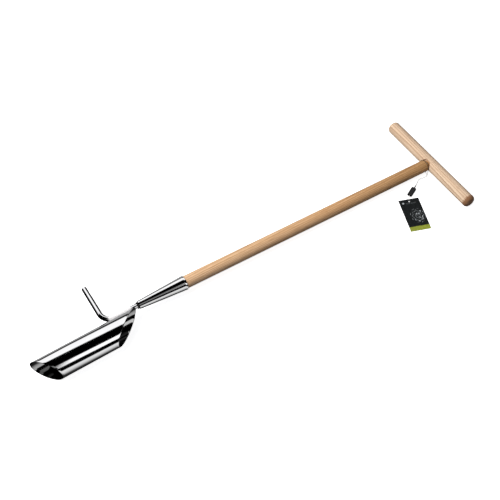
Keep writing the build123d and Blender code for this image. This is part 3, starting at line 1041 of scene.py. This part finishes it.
notch_bm = block(NOTCH_DEPTH * 2, NOTCH_WIDTH, notch_levels, 0.6 * MM, 4)
notch_bm.transform(Matrix.Translation((-SEAL_LENGTH / 2, 0, 0)))
seal_bm = cut_from(seal_bm, [holding("notch", notch_bm)])
seal = finished("seal_block", seal_bm, seal_axes, seal_finish, "tag_line", ["seal_body"])

STEM_R, STEM_TIP_R, STEM_LENGTH = 1.5 * MM, 1.15 * MM, 9 * MM
RIB_FIRST, RIB_STEP, RIB_HALF, RIB_DEPTH = 1.6 * MM, 1.8 * MM, 0.35 * MM, 0.2 * MM
stem_axes = axes_matrix(SEAL_CENTRE + up * STEM_HEIGHT, seal_u, seal_v, up)
root = SEAL_LENGTH / 2
tip = root + STEM_LENGTH
stem_profile = [(root - MM, 0), (root - MM, STEM_R), (root + 0.2 * MM, STEM_R)]
for k in range(4):
    along = RIB_FIRST + RIB_STEP * k
    radius = STEM_R + (STEM_TIP_R - STEM_R) * along / STEM_LENGTH
    rib = ((-RIB_HALF, radius), (0, radius - RIB_DEPTH), (RIB_HALF, radius))
    stem_profile += [(root + along + step, out) for step, out in rib]
stem_profile += [(tip - 0.3 * MM, STEM_TIP_R), (tip, STEM_TIP_R - 0.3 * MM), (tip, 0)]
stem_bm = turned(stem_profile, 32)
stem = finished(
    "seal_stem_ribbed", stem_bm, stem_axes, seal_finish, "tag_line", ["seal_stem"])

# %% [markdown]
# ## Card
# A stiff printed card with a punched hole. Its outline and its hole are two loops with the same number of
# points, so the face between them is one even ring of quads. Its print is generic: a pale sprig on black, a
# few faint rules and a green band. A UV map carries it, so it stays with the card when the card swings.

# %% Card finish
CARD_SHAPE = 0.526
BAND_TOP = 0.135
SPRIG_PLACE = (0.63, 0.45)
SPOT_PLACE = (0.18, 0.885)
RULE_ENDS = (0.3, 0.82)
PALE_INK = (0.62, 0.66, 0.68)

card_finish, tree, shader = finish_for("card print", {"Specular IOR Level": 0.1})
uv = first_of(tree, "ShaderNodeUVMap", uv_map="print")
axes = split(uv)
x, y = axes["X"], axes["Y"]
green_band = calc("LESS_THAN", y, BAND_TOP)
patchy = noise(uv, 9.0, 3.0, 0.6)
black = ramp(patchy, [(0.3, (0.002, 0.003, 0.003)), (0.75, (0.012, 0.014, 0.015))])
green = ramp(patchy, [(0.3, (0.25, 0.29, 0.03)), (0.7, (0.34, 0.38, 0.06))])
# A generic sprig: waved rings about a centre, broken up by a cell pattern
dx = times(minus(x, SPRIG_PLACE[0]), CARD_SHAPE)
dy = times(minus(y, SPRIG_PLACE[1]), 0.8)
far = distance(dx, dy)
angle = calc("ARCTAN2", dy, dx)
petal = calc("ABSOLUTE", calc("SINE", times(angle, 4.0)))
wave = calc("SINE", plus(times(far, 95.0), times(petal, 3.4)))
lines = ramp(times(plus(wave, 1.0), 0.5), [(0.6, 0.0), (0.9, 1.0)])
cells = add(tree, "ShaderNodeTexVoronoi", {"Vector": uv, "Scale": 15.0}).outputs["Distance"]
speck = ramp(cells, [(0.22, 1.0), (0.5, 0.1)])
inside = ramp(far, [(0.15, 1.0), (0.19, 0.0)])
sprig = times(times(lines, speck), inside)
# A plain round spot and two faint rules near the top
sx = times(minus(x, SPOT_PLACE[0]), CARD_SHAPE)
spot = ramp(distance(sx, minus(y, SPOT_PLACE[1])), [(0.02, 1.0), (0.03, 0.0)])
two_rules = plus(band(y, 0.87, 0.878, 0.003), band(y, 0.848, 0.854, 0.003))
rules = times(band(x, *RULE_ENDS, 0.01), two_rules)
marks = plus(times(spot, 0.7), times(rules, 0.25))
pale = plus(times(sprig, 1.3), marks, clamp=True)
face = mix(green_band, mix(pale, black, PALE_INK), green)
# The bare board shows on the cut edges, where the face's normal doesn't point up or down
edge_mask = add(tree, "ShaderNodeAttribute", attribute_name="cut_edge").outputs["Fac"]
colour = mix(edge_mask, face, (0.3, 0.3, 0.28))
roughness = ramp(patchy, [(0.3, 0.42), (0.7, 0.52)])
dress(shader, colour, roughness, noise(uv, 180.0, 2.0, 0.5), 0.00002, 0.3)
print("card finish with", len(tree.nodes), "nodes")

# %% Card mesh
HOLE_R = 2.5 * MM
CARD_ROUND = 1 * MM
CARD_BEVEL = 0.08 * MM
CORNER_STEPS = 7
card_axes = axes_matrix(CARD_CENTRE, card_u, card_v, card_w)


def card_mesh():
    bm = bmesh.new()
    outline = rounded_outline(CARD_WIDTH, CARD_LENGTH, CARD_ROUND, CORNER_STEPS)
    turns = [atan2(v - hole_v, u) for u, v in outline]
    top = CARD_THICK - CARD_BEVEL
    loops = []
    for height, inset in ((0.0, CARD_BEVEL), (CARD_BEVEL, 0.0), (top, 0.0), (CARD_THICK, CARD_BEVEL)):
        scale_u = 1 - 2 * inset / CARD_WIDTH
        scale_v = 1 - 2 * inset / CARD_LENGTH
        hole_r = HOLE_R + inset
        outer = [bm.verts.new((u * scale_u, v * scale_v, height)) for u, v in outline]
        inner = [bm.verts.new((hole_r * cos(a), hole_v + hole_r * sin(a), height)) for a in turns]
        loops.append((outer, inner))
    skin(bm, [outer for outer, _ in loops])
    skin(bm, [inner for _, inner in loops])
    for outer, inner in (loops[0], loops[-1]):
        skin(bm, [outer, inner])
    return bm


card = finished("card", card_mesh(), card_axes, card_finish, "tag", ["tag_card"])
layer = card.data.uv_layers.new(name="print")
to_card = card_axes.inverted()
turn_to_card = to_card.to_3x3()
edge_share = card.data.attributes.new("cut_edge", "FLOAT", "FACE")
for face in card.data.polygons:
    upright = abs((turn_to_card @ face.normal).z)
    edge_share.data[face.index].value = 1.0 if upright < 0.4 else 0.0
    for loop in face.loop_indices:
        local = to_card @ card.data.vertices[card.data.loops[loop].vertex_index].co
        layer.data[loop].uv = (local.x / CARD_WIDTH + 0.5, local.y / CARD_LENGTH + 0.5)

# %% [markdown]
# ## Studio
# The room gives a mirror its look: a broad white panel behind and above, black flags overhead and low in
# front, and a second white panel between them. They are bands of one sky that run along the tool, so they
# show as clean lengthwise stripes, and only mirror rays see them. The soft light on the wood comes from a
# plain even sky and one big soft lamp.

# %% World
# Each stop is an angle about the X axis, from +Y up over the top, and a brightness
BANDS = [
    (-60, 0.03), (-58, 0.5), (-10, 0.55), (5, 0.5), (9, 0.02), (24, 0.02), (28, 1.5), (70, 1.6),
    (73, 0.0), (127, 0.0), (130, 1.7), (152, 1.7), (155, 0.0), (184, 0.0), (189, 1.25), (208, 1.05),
    (222, 0.7), (237, 0.2), (244, 0.03), (300, 0.03),
]
FIRST_ANGLE, LAST_ANGLE = -60.0, 300.0
TILT, MIDDLE, MOST_SHIFT = 200.0, 0.155, 14.0
PANEL_FROM, PANEL_TO = 110.0, 170.0
PANEL_END, PANEL_FADE, PANEL_LOSS = 0.137, 0.02, 0.85
LOST_AGAIN = 0.85

world = bpy.data.worlds.new("studio")
bpy.context.scene.world = world
world.use_nodes = True
tree = world.node_tree
tree.nodes.clear()
axes = split(add(tree, "ShaderNodeTexCoord").outputs["Generated"])
angle = times(calc("ARCTAN2", axes["Z"], axes["Y"]), 180 / pi)
shift = times(minus(axes["X"], MIDDLE), TILT)
held = calc("MAXIMUM", calc("MINIMUM", shift, MOST_SHIFT), -MOST_SHIFT)
wrapped = calc("WRAP", minus(angle, held), LAST_ANGLE, FIRST_ANGLE)
whole = LAST_ANGLE - FIRST_ANGLE
share = calc("DIVIDE", plus(wrapped, -FIRST_ANGLE), whole)
stripes = ramp(share, [((a - FIRST_ANGLE) / whole, value) for a, value in BANDS])
# The near white panel stops short of the tool's lower end
above = calc("GREATER_THAN", wrapped, PANEL_FROM)
panel = times(above, calc("LESS_THAN", wrapped, PANEL_TO))
past = minus(1.0, ratio(minus(axes["X"], PANEL_END), PANEL_FADE))
shortened = minus(1.0, times(times(panel, past), PANEL_LOSS))
# A black flag on the left, and a dim one on the right
left = ratio(minus(-0.36, axes["X"]), 0.14)
left_low = ratio(minus(0.72, axes["Z"]), 0.12)
right = ratio(minus(axes["X"], 0.42), 0.12)
right_low = ratio(minus(0.66, axes["Z"]), 0.12)
black_flag = minus(1.0, times(left, left_low))
dim_flag = minus(1.0, times(times(right, right_low), 0.92))
flags = times(black_flag, dim_flag)
# Light that has been reflected more than once has lost most of itself in the tube
path = add(tree, "ShaderNodeLightPath").outputs
again = minus(path["Glossy Depth"], 1.0, clamp=True)
kept = minus(1.0, times(again, LOST_AGAIN))
level = times(times(flags, shortened), kept)
mirror = scaled(stripes, level)
height = {"Value": axes["Z"], "From Min": -0.3, "From Max": 0.6}
overhead = first_of(tree, "ShaderNodeMapRange", height)
soft = mix(overhead, (0.16, 0.16, 0.16), (0.2, 0.2, 0.21))
plain = mix(path["Is Camera Ray"], soft, (1.0, 1.0, 1.0))
colour = mix(path["Is Glossy Ray"], plain, mirror)
background = add(tree, "ShaderNodeBackground", {"Color": colour})
add(tree, "ShaderNodeOutputWorld", {"Surface": background.outputs[0]})
print("world with", len(BANDS), "stops")

# %% Floor and lamp
# The floor is plain and pale, it glows a little, and mirrors and soft light don't see it
FLOOR_HALF = 8.0
FLOOR_LOOK = {
    "Base Color": (0.86, 0.86, 0.86, 1), "Roughness": 0.9, "Specular IOR Level": 0.0,
    "Emission Color": (1, 1, 1, 1), "Emission Strength": 0.85,
}
floor_bm = bmesh.new()
bmesh.ops.create_grid(floor_bm, x_segments=4, y_segments=4, size=FLOOR_HALF)
floor_mesh = bpy.data.meshes.new("floor")
floor_bm.to_mesh(floor_mesh)
floor_bm.free()
floor_mesh.materials.append(finish_for("pale floor", FLOOR_LOOK)[0])
floor = linked("floor", floor_mesh)
floor.visible_glossy = False
floor.visible_diffuse = False

KEY_PLACE, KEY_TARGET = Vector((-1.5, 0.4, 2.3)), Vector((0.1, 0, 0))
key_data = bpy.data.lights.new("key", "AREA")
key_data.size = 1.1
key_data.energy = 88.0
key = linked("key", key_data)
key.location = KEY_PLACE
key.rotation_mode = "QUATERNION"
key.rotation_quaternion = (KEY_TARGET - KEY_PLACE).to_track_quat("-Z", "Y")
key.visible_glossy = False
bpy.context.scene.view_settings.view_transform = "Standard"
print("studio ready")
